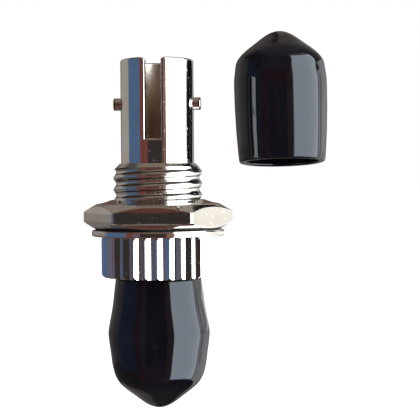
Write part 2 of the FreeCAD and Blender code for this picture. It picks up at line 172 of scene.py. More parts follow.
# Caps: their outlines from lip to tip are heights above the mouth, and half widths there
CAP_WALL = 0.6
CAP_MOUTH = -0.2
CAP_LIP = 0.22
CAP_HEIGHTS = (CAP_MOUTH + CAP_LIP, 1.0, 1.9, 2.8, 3.7, 4.5, 5.2, 6.0, 6.9, 7.8, 8.6)
FITTED_CAP_BROAD = (4.13, 4.26, 4.36, 4.49, 4.66, 4.815, 4.88, 4.81, 4.68, 4.57, 4.42)
FITTED_CAP_DEEP = (4.13, 4.19, 4.22, 4.26, 4.3, 4.34, 4.37, 4.39, 4.4, 4.4, 4.34)
LOOSE_CAP_SIDE = (4.1, 4.19, 4.255, 4.315, 4.35, 4.385, 4.405, 4.42, 4.43, 4.41, 4.31)
CAP_NOSE = [
    (9.3, 4.19), (9.95, 3.78), (10.55, 3.13), (11.1, 2.42),
    (11.62, 1.75), (12.1, 0.99), (12.36, 0.0),
]
CAP_ROWS = 150
CAP_COLUMNS = 160
CAP_LIP_STEPS = 13
REAR_CAP_MOUTH = -5.8
LOOSE_CAP_GROWTH = (1.05, 1.05, 1.057)
LOOSE_CAP_PLACE = (11.83, 5.5, 5.6)
LOOSE_CAP_LEAN = 5.0
LOOSE_CAP_ROLL = 1.2


def mesh_of(name, grids):
    """Make one mesh out of grids of points. In a grid the rows run along the shape and the
    columns run round it, and the last column joins the first one. Points that meet at a pole
    or along a middle line are merged, so that the skin closes there."""
    points, faces, start = [], [], 0
    for grid in grids:
        rows, columns = grid.shape[:2]
        here = start + np.arange(rows * columns).reshape(rows, columns)
        beside = np.roll(here, -1, axis=1)
        quads = np.stack([here[:-1], beside[:-1], beside[1:], here[1:]], axis=-1)
        faces.append(quads.reshape(-1, 4))
        points.append(grid.reshape(-1, 3))
        start += rows * columns
    points = np.concatenate(points) * MM
    faces = np.concatenate(faces)
    mesh = bpy.data.meshes.new(name)
    mesh.from_pydata(points.tolist(), [], faces.tolist())
    skin = bmesh.new()
    skin.from_mesh(mesh)
    bmesh.ops.remove_doubles(skin, verts=skin.verts, dist=MERGE_WITHIN)
    bmesh.ops.recalc_face_normals(skin, faces=skin.faces)
    skin.to_mesh(mesh)
    skin.free()
    mesh.shade_smooth()
    return mesh


def piece(name, grids, material, body, nodes):
    """Put a finished skin into the scene in place of its solids."""
    made = bpy.data.objects.new(name, mesh_of(name, grids))
    bpy.context.scene.collection.objects.link(made)
    made.data.materials.append(material)
    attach(made, body)
    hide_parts(*nodes)


def all_round(count):
    """Evenly spaced angles for one turn."""
    return np.linspace(0, FULL_TURN, count, endpoint=False)


def bend(t, start, corner, end):
    """Curve from start to end that a corner C pulls: (1-t)^2 start + 2t(1-t) C + t^2 end."""
    return (1 - t) ** 2 * start + 2 * t * (1 - t) * corner + t ** 2 * end


def soft_least(one, other, soft):
    """Rounded least of two: minus soft times log(e^(-one/soft) + e^(-other/soft))."""
    return -np.logaddexp(-one / soft, -other / soft) * soft


def eased(corners, reach, steps=7):
    """Round off the corners of a closed profile. Near a corner, the points at a distance of
    reach along both sides are joined by a bend, and one more point just outside each end of
    the bend keeps the sides straight.
    Corners are an array of (corner, column, 2), and so is what comes back."""
    reach = np.asarray(reach, float).reshape(-1, 1, 1)
    back = np.roll(corners, 1, axis=0) - corners
    ahead = np.roll(corners, -1, axis=0) - corners
    back_length = np.linalg.norm(back, axis=-1, keepdims=True)
    ahead_length = np.linalg.norm(ahead, axis=-1, keepdims=True)
    reach = np.minimum(reach, EASE_LIMIT * np.minimum(back_length, ahead_length))
    first = corners + back / back_length * reach
    last = corners + ahead / ahead_length * reach
    t = np.linspace(0, 1, steps).reshape(-1, 1, 1, 1)
    before = corners + back / back_length * reach * EASE_SHOULDER
    after = corners + ahead / ahead_length * reach * EASE_SHOULDER
    whole = np.concatenate([before[None], bend(t, first, corners, last), after[None]])
    return np.swapaxes(whole, 0, 1).reshape(-1, *corners.shape[1:])


def turned(profile, angles):
    """Carry a closed profile of (radius, height) round the axis: x is the radius times the
    cosine, y the radius times the sine. The profile may differ from angle to angle."""
    profile = np.concatenate([profile, profile[:1]])
    radius, height = np.broadcast_arrays(profile[..., 0], profile[..., 1])
    radius = radius * np.ones_like(angles)
    height = height * np.ones_like(angles)
    return np.stack([radius * np.cos(angles), radius * np.sin(angles), height], axis=-1)


def ring_profile(pairs):
    """Corners of a profile that is the same all round."""
    return np.array(pairs, float).reshape(-1, 1, 2)


def varied_profile(angles, pairs):
    """Corners of a profile whose radii and heights are numbers, or have a value per angle."""
    same = np.ones_like(angles)
    return np.stack([np.stack([radius * same, height * same], axis=-1) for radius, height in pairs])


def from_slot(radius, angles):
    """Points at a radius, by their angle from -Y."""
    return np.stack([radius * np.sin(angles), -radius * np.cos(angles)], axis=-1)


def keyed_section(outer, inner, half_slot, ease, count=120):
    """Section of a tube with a slot towards -Y, as a closed loop, and the middle line of its
    wall for each point of the loop. The outside arc runs from one slot edge all the way round
    to the other, each outer edge gives way to a bend, and the bore runs back."""

    def arc(radius, edge):
        start = math.asin(edge / radius)
        return from_slot(radius, np.linspace(start, FULL_TURN - start, count))

    def slot_corner(radius):
        return np.array([-half_slot, -math.sqrt(radius ** 2 - half_slot ** 2)])

    t = np.linspace(0, 1, EDGE_STEPS)[:, None]
    outside = arc(outer, half_slot + ease)
    bore = arc(inner, half_slot + BORE_EDGE)[::-1]
    outer_corner = slot_corner(outer)
    inner_corner = slot_corner(inner)
    left_edge = bend(t, outside[-1], outer_corner, outer_corner + [0, ease])
    left_root = bend(t, inner_corner - [0, BORE_EDGE], inner_corner, bore[0])
    mirror = np.array([-1, 1])
    loop = np.concatenate([
        outside, left_edge[1:], left_root, bore[1:-1],
        left_root[::-1] * mirror, left_edge[::-1][:-1] * mirror,
    ])
    middle = (outer + inner) / 2
    half_wall = (outer - inner) / 2
    nearest = math.asin((half_slot + half_wall) / middle)
    angles = np.arctan2(loop[:, 0], -loop[:, 1]) % FULL_TURN
    return loop, from_slot(middle, np.clip(angles, nearest, FULL_TURN - nearest))


def carried(rows):
    """Stack sections at their heights, each drawn in by a share towards its middle line."""
    return np.stack([
        np.column_stack([loop + (middle - loop) * share, np.full(len(loop), height)])
        for (loop, middle), height, share in rows
    ])


def keyed_barrel(toward, foot):
    """Slotted barrel: the keyed section carried along the axis, and at the rim drawn in
    towards the middle line of its wall along a quarter circle, until it closes on that line.
    The slot flares out to the rim along a quarter circle too."""
    wide = keyed_section(BARREL_RADIUS, POCKET_RADIUS, KEYWAY_HALF, KEYWAY_EASE)
    fine = keyed_section(BARREL_RADIUS, PORT_RADIUS, KEYWAY_HALF, KEYWAY_EASE)

    def flared(height):
        into = min(max(height - PORT_REACH + KEYWAY_CORNER, 0.0), FLARE_LIMIT * KEYWAY_CORNER)
        flare = KEYWAY_CORNER - math.sqrt(KEYWAY_CORNER ** 2 - into ** 2)
        return keyed_section(BARREL_RADIUS, PORT_RADIUS, KEYWAY_HALF + flare, KEYWAY_EASE)

    half_wall = (BARREL_RADIUS - PORT_RADIUS) / 2
    swing = np.linspace(0, QUARTER_TURN, EDGE_STEPS)
    drawn_in = RIM_ROUND * (1 - np.cos(swing)) / half_wall
    rise = PORT_REACH - RIM_ROUND * (1 - np.sin(swing))
    step = HOLDER_END + HOLDER_ROOM
    rim = flared(PORT_REACH)
    rows = [(wide, foot, 1.0), (wide, foot, 0.0), (wide, foot + NEAR_EDGE, 0.0)]
    rows += [(wide, step - NEAR_EDGE, 0.0), (wide, step, 0.0)]
    rows += [(fine, step, 0.0), (fine, step + NEAR_EDGE, 0.0)]
    rows += [(fine, PORT_REACH - KEYWAY_CORNER - NEAR_EDGE, 0.0)]
    rows += [(flared(PORT_REACH - drop), PORT_REACH - drop, 0.0) for drop in FLARE_DROPS]
    rows += [(flared(height), height, share) for height, share in zip(rise, drawn_in)]
    rows += [(rim, PORT_REACH, drawn_in[-1] * RIM_SHOULDER), (rim, PORT_REACH, 1.0)]
    return carried(rows) * np.array([1, 1, toward])


def lug_surface(side, height):
    """Bayonet lug: a short pin along X with an eased rim round a shallow dish."""
    root = PORT_RADIUS + LUG_SEAT
    end = [(distance, LUG_END - depth) for distance, depth in LUG_DISH]
    profile = ring_profile(end + [(LUG_RADIUS, root), (0.0, root)])
    grid = turned(eased(profile, LUG_EASE), all_round(LUG_COLUMNS))
    return np.stack([side * grid[..., 2], grid[..., 0], grid[..., 1] + height], axis=-1)


def thread_surface():
    """Threaded neck: the radius dips by the thread depth along a helix. The phase of the helix
    is the height above the collar over the pitch, less the angle over a full turn. The radius
    is the root plus the depth times a rounded wave that is lowest where the phase is whole, and
    the lead-in cone cuts the first crest off."""
    angles = all_round(THREAD_COLUMNS)
    heights = np.linspace(COLLAR_TOP, THREAD_TOP, THREAD_ROWS)[:, None]
    phase = (heights - COLLAR_TOP) / THREAD_PITCH - angles / FULL_TURN
    wave = 0.5 - 0.5 * np.cos(FULL_TURN * phase)
    radius = THREAD_RADIUS - THREAD_DEPTH * (1 - wave)
    lead_in = THREAD_RADIUS - THREAD_LEAD_IN + THREAD_TOP - heights
    radius = soft_least(radius, lead_in, THREAD_SOFT)
    x = radius * np.cos(angles)
    y = radius * np.sin(angles)
    side = np.stack([x, y, heights * np.ones_like(angles)], axis=-1)
    inside = turned(ring_profile([
        (POCKET_RADIUS, THREAD_TOP), (POCKET_RADIUS, SPIGOT_END),
        (SPIGOT_RADIUS, SPIGOT_END), (SPIGOT_RADIUS, COLLAR_TOP),
    ]), angles)[:-1]
    return np.concatenate([inside, side, inside[:1]])


def collar_surface():
    """Grip collar: a zigzag falls from 1 on each crest to 0 in each root, and the square root of
    its square plus a little rounds the roots off. The radius is that rise times the depth, below
    the crests. A turned bevel takes the ends of the ridges off."""
    angles = all_round(RIDGES * RIDGE_COLUMNS)
    zigzag = np.abs(2 * (RIDGES * angles / FULL_TURN % 1) - 1)
    rise = (np.hypot(zigzag, RIDGE_ROOT) - RIDGE_ROOT) / (math.hypot(1, RIDGE_ROOT) - RIDGE_ROOT)
    radius = COLLAR_RADIUS - RIDGE_DEPTH * (1 - rise)
    over = np.maximum(radius - (COLLAR_RADIUS - COLLAR_BEVEL), 0.0)
    end = np.minimum(radius, COLLAR_RADIUS - COLLAR_BEVEL)
    corners = varied_profile(angles, [
        (POCKET_RADIUS, COLLAR_END), (end, COLLAR_END),
        (radius, COLLAR_END + over + BEVEL_FOOT), (radius, COLLAR_TOP - over - BEVEL_FOOT),
        (end, COLLAR_TOP), (SOCKET_RADIUS, COLLAR_TOP),
        (SOCKET_RADIUS, SOCKET_END), (POCKET_RADIUS, SOCKET_END),
    ])
    return turned(eased(corners, COLLAR_EASE), angles)


def nut_surface():
    """Hexagon nut: the flat's distance over the cosine of the angle from the flat's middle is
    the hexagon, held under the turned corner radius. Each angle's profile goes up the side
    between two bevels, where polishing has left the flat a little domed: it falls back by the
    square of the height over twice the dome's radius. The upper face rises in a hollow cone to
    the lip of the bore."""
    share = np.linspace(-1, 1, NUT_COLUMNS, endpoint=False)
    local = np.arctan(math.tan(math.pi / NUT_SIDES) * np.sin(share * QUARTER_TURN))
    flats = np.arange(NUT_SIDES)[:, None] * FULL_TURN / NUT_SIDES
    angles = (flats + local - QUARTER_TURN + NUT_TURN).ravel()
    flat = np.tile(NUT_FLAT / np.cos(local), NUT_SIDES)
    side = soft_least(flat, NUT_CORNER, NUT_SOFT)
    drop = (side - NUT_FACE) * NUT_SLOPE
    middle = (NUT_BOTTOM + NUT_TOP) / 2
    half_height = (NUT_TOP - NUT_BOTTOM) / 2 - drop
    up_side = np.linspace(-1, 1, NUT_ROWS)[:, None] * half_height
    domed = np.stack([side - up_side ** 2 / (2 * NUT_DOME), middle + up_side], axis=-1)
    lip = NUT_LIP_TOP - NUT_TOP
    below = varied_profile(angles, [
        (NUT_BORE, NUT_BOTTOM + NUT_BORE_BEVEL), (NUT_BORE + NUT_BORE_BEVEL, NUT_BOTTOM),
        (NUT_FACE, NUT_BOTTOM),
    ])
    cone = [(NUT_BORE + distance, NUT_TOP + lip * part) for distance, part in NUT_CONE]
    above = varied_profile(angles, [
        (NUT_FACE, NUT_TOP), *cone,
        (NUT_BORE + NUT_LIP_WIDTH, NUT_LIP_TOP), (NUT_BORE, NUT_LIP_TOP - NUT_LIP_BEVEL),
    ])
    corners = np.concatenate([below, domed, above])
    reach = [*NUT_EASE_BELOW, *[NUT_EASE_SIDE] * NUT_ROWS, *NUT_EASE_ABOVE]
    return turned(eased(corners, reach), angles)


def washer_surface():
    """Flat ring, punched from above: its upper edge is rolled over, its lower edge rounded."""
    low, high = COLLAR_TOP, NUT_BOTTOM
    corners = ring_profile([
        (WASHER_BORE, low), (WASHER_RADIUS, low), (WASHER_RADIUS, high - WASHER_ROLL_DOWN),
        (WASHER_RADIUS - WASHER_ROLL_ACROSS, high), (WASHER_BORE, high),
    ])
    return turned(eased(corners, WASHER_EASE), all_round(WASHER_COLUMNS))


def smooth_line(stops, count):
    """Cubic B-spline through its stops, the last of which is the tip on the axis. Beyond the tip
    the stops go on mirrored, so that the line crosses the axis squarely. The pulls that carry the
    line through the stops solve: (pull before + 4 pulls here + pull after) / 6 = stop."""
    stops = np.asarray(stops, float)
    through = np.concatenate([stops, stops[-2:-5:-1] * [1, -1]])
    system = 4 * np.eye(len(through)) + np.eye(len(through), k=1) + np.eye(len(through), k=-1)
    system[[0, -1]] = 0
    system[0, 0] = system[-1, -1] = 6
    pulls = np.linalg.solve(system, 6 * through)
    padded = np.concatenate([2 * pulls[:1] - pulls[1:2], pulls])
    place = np.linspace(0, len(stops) - 1, count)
    stretch = np.minimum(place.astype(int), len(stops) - 2)
    t = (place - stretch)[:, None]
    weights = ((1 - t) ** 3, 3 * t ** 3 - 6 * t ** 2 + 4, -3 * t ** 3 + 3 * t ** 2 + 3 * t + 1, t ** 3)
    return sum(weight * padded[stretch + i] for i, weight in enumerate(weights)) / 6


def cap_skin(broad, deep):
    """Cap: two outlines, half the width across X and half the depth across Y, share their
    heights, and each ring is the ellipse between them. The inside lies one wall further in,
    square to the outline, and a half ellipse joins both at the lip."""
    angles = all_round(CAP_COLUMNS)
    height, wide = smooth_line(list(zip(CAP_HEIGHTS, broad)) + CAP_NOSE, CAP_ROWS).T
    deep_wide = smooth_line(list(zip(CAP_HEIGHTS, deep)) + CAP_NOSE, CAP_ROWS)[:, 1]
    rise = np.gradient(height)
    spread = np.gradient(wide)
    length = np.hypot(rise, spread)
    inner_height = height + CAP_WALL * np.minimum(spread / length, 0)
    shrink = CAP_WALL * rise / length
    swing = np.linspace(0, math.pi, CAP_LIP_STEPS)[1:-1]
    lip_height = CAP_MOUTH + CAP_LIP * (1 - np.sin(swing))
    lip_shrink = CAP_WALL / 2 * (1 + np.cos(swing))
    heights = np.concatenate([inner_height[::-1], lip_height, height])

    def widths(outline):
        inner = np.maximum(outline - shrink, 0)
        inner[-1] = 0
        return np.concatenate([inner[::-1], outline[0] - lip_shrink, outline])[:, None]

    x = widths(wide) * np.cos(angles)
    y = widths(deep_wide) * np.sin(angles)
    return np.stack([x, y, heights[:, None] * np.ones_like(angles)], axis=-1)


def holder_surface(toward):
    """Sleeve holder: a turned bush with a flared entry and eased face."""
    corners = ring_profile([
        (HOLDER_NEST, 0.0), (HOLDER_RADIUS, 0.0), (HOLDER_RADIUS, HOLDER_END),
        (HOLDER_FLARE, HOLDER_END), (HOLDER_ENTRY, HOLDER_END - HOLDER_FLARE_DEPTH),
        (HOLDER_ENTRY, HOLDER_NEST_END), (HOLDER_NEST, HOLDER_NEST_END),
    ])
    grid = turned(eased(corners, HOLDER_EASE), all_round(HOLDER_COLUMNS))
    return grid * np.array([1, 1, toward])


def key_surface():
    """Key of the bush, which fills the slot up to its eased edges: its front is part of a circle
    about the axis, its sides are flat. The section is carried up the axis, and at the top it is
    drawn in towards its middle along a quarter circle."""
    half = KEY_HALF
    across = np.linspace(-half, half, KEY_COLUMNS)
    front = np.column_stack([across, -np.sqrt(KEY_RADIUS ** 2 - across ** 2)])
    loop = np.concatenate([[(-half, KEY_BACK)], front, [(half, KEY_BACK)]])
    swing = np.linspace(0, QUARTER_TURN, KEY_STEPS)
    round_in = KEY_ROUND * (1 - np.cos(swing))
    round_up = HOLDER_END - KEY_ROUND * (1 - np.sin(swing))
    side_heights = [KEY_FOOT, KEY_FOOT + NEAR_EDGE, round_up[0] - NEAR_EDGE]
    heights = np.concatenate([[KEY_FOOT], side_heights, round_up, [HOLDER_END]])
    drawn_in = np.concatenate([[half], np.zeros(len(side_heights)), round_in, [half]])
    middle = np.array([0.0, (KEY_BACK - KEY_RADIUS) / 2])
    reach = np.array([half, (KEY_RADIUS + KEY_BACK) / 2])
    shrink = np.maximum(1 - drawn_in[:, None] / reach, 0)[:, None]
    flat = middle + (loop - middle) * shrink
    upright = np.broadcast_to(heights[:, None, None], (*flat.shape[:2], 1))
    return np.concatenate([flat, upright], axis=-1)


def sleeve_surface():
    """Split sleeve: the keyed section of a thin tube, turned so that its slit faces +Y."""
    section = keyed_section(
        SLEEVE_RADIUS, SLEEVE_BORE, SLEEVE_SLIT_HALF, SLEEVE_SLIT_EASE, SLEEVE_COLUMNS)
    upper = [(SLEEVE_SHOULDER, 0.0), (SLEEVE_END, SLEEVE_BEVEL), (SLEEVE_END, 1.0)]
    lower = [(-height, share) for height, share in reversed(upper)]
    rows = [(section, height, share) for height, share in lower + upper]
    return carried(rows) * np.array([-1, -1, 1])


# Plate from a distance off the axis on, in millimetres. Its roughness: bore, barrel, thread, rest.
# Its tint: the bore is painted darker and browner, painted shade of the bore with a brownish tone,
# and a band low on the thread's flanks is painted near black, painted shade between the crests.
# Where the washer is darkened with painted shade under the nut and rubbed, that sets in over a short
# height.
PLATE_REACH = 10.0
PLATE_ROUGHNESS = ((0.0, 0.3), (2.6, 0.05), (3.58, 0.14), (4.29, 0.05))
UNTINTED = (1.0, 1.0, 1.0)
PLATE_TONE_AND_SHADE = (
    (0.0, (0.8, 0.71, 0.61)), (2.6, UNTINTED), (4.03, (0.1, 0.085, 0.075)), (4.12, UNTINTED),
)
SHADE_AND_RUB_ONSET = 0.02


class Nodes:
    """A material's node tree, with short words for adding nodes and joining sockets."""

    def __init__(self, name):
        self.material = bpy.data.materials.new(name)
        self.material.use_nodes = True
        self.tree = self.material.node_tree
        self.shader = self.tree.nodes["Principled BSDF"]
        self.place = self.add("ShaderNodeTexCoord").outputs["Object"]

    def add(self, kind, **settings):
        node = self.tree.nodes.new(kind)
        for name, value in settings.items():
            setattr(node, name, value)
        return node

    def join(self, source, target):
        self.tree.links.new(source, target)

    def grain(self, scale, detail=3.0, stretch=(1, 1, 1)):
        """Noise over the piece's own place, scale cells to a metre, stretched along the axes."""
        mapping = self.add("ShaderNodeMapping")
        mapping.inputs["Scale"].default_value = stretch
        noise = self.add("ShaderNodeTexNoise")
        noise.inputs["Scale"].default_value = scale
        noise.inputs["Detail"].default_value = detail
        self.join(self.place, mapping.inputs["Vector"])
        self.join(mapping.outputs["Vector"], noise.inputs["Vector"])
        return noise.outputs["Fac"]

    def blend(self, share, low, high, between=(0.35, 0.65)):
        """Colours from low to high by a share."""
        ramp = self.add("ShaderNodeValToRGB")
        for stop, position, colour in zip(ramp.color_ramp.elements, between, (low, high)):
            stop.position = position
            stop.color = (*colour, 1)
        self.join(share, ramp.inputs["Fac"])
        return ramp.outputs["Color"]

    def span(self, share, low, high, between=(0.3, 0.7)):
        """A number from low to high by a share."""
        node = self.add("ShaderNodeMapRange")
        node.inputs["From Min"].default_value = between[0]
        node.inputs["From Max"].default_value = between[1]
        node.inputs["To Min"].default_value = low
        node.inputs["To Max"].default_value = high
        self.join(share, node.inputs["Value"])
        return node.outputs["Result"]

    def by_distance(self, steps):
        """A colour that steps with the distance off the axis."""
        flat = self.add("ShaderNodeVectorMath", operation="MULTIPLY")
        flat.inputs[1].default_value = (1, 1, 0)
        length = self.add("ShaderNodeVectorMath", operation="LENGTH")
        self.join(self.place, flat.inputs[0])
        self.join(flat.outputs["Vector"], length.inputs[0])
        share = self.span(length.outputs["Value"], 0.0, 1.0, (0.0, PLATE_REACH * MM))
        ramp = self.add("ShaderNodeValToRGB")
        stops = ramp.color_ramp
        stops.interpolation = "CONSTANT"
        while len(stops.elements) < len(steps):
            stops.elements.new(1.0)
        for stop, (distance, colour) in zip(stops.elements, steps):
            stop.position = distance / PLATE_REACH
            stop.color = (*colour, 1)
        self.join(share, ramp.inputs["Fac"])
        return ramp.outputs["Color"]

    def total(self, one, other):
        node = self.add("ShaderNodeMath", operation="ADD")
        self.join(one, node.inputs[0])
        self.join(other, node.inputs[1])
        return node.outputs["Value"]

    def product(self, one, other):
        node = self.add("ShaderNodeVectorMath", operation="MULTIPLY")
        self.join(one, node.inputs[0])
        self.join(other, node.inputs[1])
        return node.outputs["Vector"]

    def bump(self, share, strength, distance):
        node = self.add("ShaderNodeBump")
        node.inputs["Strength"].default_value = strength
        node.inputs["Distance"].default_value = distance
        self.join(share, node.inputs["Height"])
        self.join(node.outputs["Normal"], self.shader.inputs["Normal"])

    def colour(self, socket):
        self.join(socket, self.shader.inputs["Base Color"])

    def roughness(self, socket):
        self.join(socket, self.shader.inputs["Roughness"])


def nickel_plate(name, shaded_rubbed_from=None):
    """Bright plate over turned metal: duller in the bore and on the thread, cloudy shine, specks.
    From a height on, if there is one, it is darkened with painted shade and rubbed dull."""
    made = Nodes(name)
    made.shader.inputs["Metallic"].default_value = 1.0
    clouds = made.grain(scale=260.0)
    plate = made.blend(clouds, low=(0.72, 0.68, 0.62), high=(0.8, 0.77, 0.72))
    # The tint by distance paints shade: the bore darker and browner, a near-black band between the
    # thread's crests.
    plate = made.product(plate, made.by_distance(PLATE_TONE_AND_SHADE))
    specks = made.span(made.grain(scale=2400.0, detail=2.0), low=0.0, high=0.3, between=(0.62, 0.74))
    steps = [(distance, (level, level, level)) for distance, level in PLATE_ROUGHNESS]
    rough = made.total(made.by_distance(steps), specks)
    rough = made.total(rough, made.span(clouds, low=0.0, high=0.03))
    if shaded_rubbed_from is not None:
        split = made.add("ShaderNodeSeparateXYZ")
        made.join(made.place, split.inputs[0])
        height = split.outputs["Z"]
        onset = (shaded_rubbed_from * MM, (shaded_rubbed_from + SHADE_AND_RUB_ONSET) * MM)
        # Painted shade under the nut: the plate darkens to 0.3 of its colour; the roughness added
        # below is rubbing
        plate = made.product(plate, made.span(height, low=1.0, high=0.3, between=onset))
        rough = made.total(rough, made.span(height, low=0.0, high=0.5, between=onset))
    made.colour(plate)
    made.roughness(rough)
    turning = made.grain(scale=900.0, detail=4.0, stretch=(1.0, 1.0, 0.3))
    made.bump(turning, strength=0.1, distance=0.00002)
    return made.material


def black_vinyl():
    """Dipped vinyl: near black, glossy, with the long soft waves of a dipped skin."""
    made = Nodes("black_vinyl")
    made.shader.inputs["IOR"].default_value = 1.42
    clouds = made.grain(scale=300.0)
    made.colour(made.blend(clouds, low=(0.003, 0.003, 0.005), high=(0.005, 0.005, 0.009)))
    made.roughness(made.span(made.grain(scale=1200.0), low=0.05, high=0.09))
    made.bump(made.grain(scale=180.0, detail=1.0), strength=0.12, distance=0.0001)
    return made.material


def sleeve_bronze():
    """Drawn spring bronze: long lines along the sleeve."""
    made = Nodes("sleeve_bronze")
    made.shader.inputs["Metallic"].default_value = 1.0
    made.colour(made.blend(made.grain(scale=500.0), low=(0.62, 0.4, 0.22), high=(0.75, 0.52, 0.32)))
    lines = made.grain(scale=1500.0, stretch=(1, 1, 0.1))
    made.roughness(made.span(lines, low=0.15, high=0.28))
    made.bump(made.grain(scale=3000.0, stretch=(1, 1, 0.05)), strength=0.1, distance=0.00001)
    return made.material


NICKEL = nickel_plate("nickel_plate")
# The washer's plate, darkened with painted shade where the nut sits on it
SHADED_RUBBED_NICKEL = nickel_plate("shaded_rubbed_nickel_plate", NUT_BOTTOM - WASHER_SHADE_AND_RUB)
VINYL = black_vinyl()
BRONZE = sleeve_bronze()

front_barrel = [keyed_barrel(1, FRONT_FOOT), thread_surface()]
piece("front_barrel", front_barrel, NICKEL, "adapter", ["front_housing"])
grip_collar = [keyed_barrel(-1, REAR_FOOT), collar_surface()]
piece("grip_collar", grip_collar, NICKEL, "adapter", ["rear_housing"])
for end, level in (("front", LUG_HEIGHT), ("rear", -LUG_HEIGHT)):
    for hand, side in (("left", -1), ("right", 1)):
        pin = [lug_surface(side, level)]
        piece(f"{end}_{hand}_pin", pin, NICKEL, "adapter", [f"{end}_{hand}_lug"])
piece("hexagon_nut", [nut_surface()], NICKEL, "nut", ["panel_nut"])
piece("rounded_washer", [washer_surface()], SHADED_RUBBED_NICKEL, "washer", ["panel_washer"])
front_bush = [holder_surface(1), key_surface()]
piece("front_bush", front_bush, NICKEL, "adapter", ["front_sleeve_holder"])
rear_bush = [holder_surface(-1)]
piece("rear_bush", rear_bush, NICKEL, "adapter", ["rear_sleeve_holder"])
piece("split_sleeve", [sleeve_surface()], BRONZE, "adapter", ["alignment_sleeve"])

fitted = cap_skin(FITTED_CAP_BROAD, FITTED_CAP_DEEP)
fitted = fitted * np.array([1, 1, -1]) + np.array([0, 0, REAR_CAP_MOUTH])
piece("fitted_cap", [fitted], VINYL, "rear_cap", ["rear_dust_cap"])

lean = Matrix.Rotation(math.radians(-LOOSE_CAP_LEAN), 3, "X")
roll = Matrix.Rotation(math.radians(-LOOSE_CAP_ROLL), 3, "Y")
loose = cap_skin(LOOSE_CAP_SIDE, LOOSE_CAP_SIDE) * np.array(LOOSE_CAP_GROWTH)
loose = loose @ np.array(roll @ lean).T + np.array(LOOSE_CAP_PLACE)
piece("loose_cap", [loose], VINYL, "adapter", ["front_dust_cap"])

# Studio: camera, cards that mirror rays see, floor, surround and lamp. Azimuths are counted
# from the camera's side of the part, and only the lamp's place and width are in metres.

CAMERA_AZIMUTH = 7.3
CAMERA_DISTANCE = 110.0
CAMERA_LEVEL = 3.5
CAMERA_ROLL = -0.43
CAMERA_NEAREST = 5.0
CAMERA_FARTHEST = 10000.0
FOCAL_PIXELS = 1144.0
IMAGE_PIXELS = 420
AIM_RIGHT_PIXELS = 51.9
AIM_DOWN_PIXELS = 28.0
SENSOR = 36.0
CARD_ROWS = 9
CARD_COLUMNS = 33
LID_RADIUS = 500.0
LID_ROWS = 9
LID_COLUMNS = 48
FLOOR_LEVEL = -34.0
FLOOR_REACH = 3000.0
FLOOR_FILL = 0.4
PLAIN_LIGHT = 0.75
WHITE = 1.0
LAMP_PLACE = (0.15, -0.25, 0.4)
LAMP_WIDTH = 0.3
LAMP_WATTS = 1.2


def make_camera():
    """Level camera off to the right of the keyway, aimed past the part's axis."""
    data = bpy.data.cameras.new("camera")
    data.sensor_width = SENSOR
    data.lens = FOCAL_PIXELS / IMAGE_PIXELS * SENSOR
    data.clip_start = CAMERA_NEAREST * MM
    data.clip_end = CAMERA_FARTHEST * MM
    camera = bpy.data.objects.new("camera", data)
    bpy.context.scene.collection.objects.link(camera)
    turn = math.radians(CAMERA_AZIMUTH)
    x = CAMERA_DISTANCE * math.sin(turn)
    y = -CAMERA_DISTANCE * math.cos(turn)
    camera.location = (x * MM, y * MM, CAMERA_LEVEL * MM)
    right = math.atan(AIM_RIGHT_PIXELS / FOCAL_PIXELS)
    down = math.atan(AIM_DOWN_PIXELS / FOCAL_PIXELS)
    facing = Matrix.Rotation(turn - right, 4, "Z") @ Matrix.Rotation(QUARTER_TURN - down, 4, "X")
    camera.rotation_euler = (facing @ Matrix.Rotation(math.radians(CAMERA_ROLL), 4, "Z")).to_euler()
    bpy.context.scene.camera = camera


def glow(name, colour):
    """A plain glowing material for a studio card; without a colour it takes the card's tones."""
    material = bpy.data.materials.new(name)
    material.use_nodes = True
    tree = material.node_tree
    tree.nodes.remove(tree.nodes["Principled BSDF"])
    emission = tree.nodes.new("ShaderNodeEmission")
    emission.inputs["Strength"].default_value = 1.0
    if colour:
        emission.inputs["Color"].default_value = (*colour, 1)
    else:
        tone = tree.nodes.new("ShaderNodeAttribute")
        tone.attribute_name = "tone"
        tree.links.new(tone.outputs["Color"], emission.inputs["Color"])
    tree.links.new(emission.outputs["Emission"], tree.nodes["Material Output"].inputs["Surface"])
    return material


def show_card(name, mesh, colour):
    """Put a card into the studio, where only mirror rays see it."""
    made = bpy.data.objects.new(name, mesh)
    made.data.materials.append(glow(name, colour))
    bpy.context.scene.collection.objects.link(made)
    made.visible_camera = False
    made.visible_diffuse = False
    made.visible_shadow = False


def card(name, azimuths, elevations, distance, colour, far_colour=None):
    """Curved card round the part: points at one distance from the axis, at azimuths counted
    from the camera's side and at heights that grow with the tangent of the elevation. With a
    far colour, its tone goes over to that along the azimuth."""
    azimuth = np.radians(np.linspace(*azimuths, CARD_COLUMNS) + CAMERA_AZIMUTH)
    height = distance * np.tan(np.radians(np.linspace(*elevations, CARD_ROWS)))[:, None]
    same = np.ones_like(height)
    x = distance * np.sin(azimuth) * same
    y = -distance * np.cos(azimuth) * same
    points = np.stack([x, y, height * np.ones_like(azimuth)], axis=-1)
    here = np.arange(CARD_ROWS * CARD_COLUMNS).reshape(CARD_ROWS, CARD_COLUMNS)
    faces = np.stack([here[:-1, :-1], here[:-1, 1:], here[1:, 1:], here[1:, :-1]], axis=-1)
    mesh = bpy.data.meshes.new(name)
    mesh.from_pydata((points.reshape(-1, 3) * MM).tolist(), [], faces.reshape(-1, 4).tolist())
    if far_colour:
        share = np.linspace(0, 1, CARD_COLUMNS)[:, None]
        tones = np.array((*colour, 1.0)) * (1 - share) + np.array((*far_colour, 1.0)) * share
        layer = mesh.attributes.new("tone", "FLOAT_COLOR", "POINT")
        layer.data.foreach_set("color", np.tile(tones, (CARD_ROWS, 1)).ravel())
        colour = None
    show_card(name, mesh, colour)


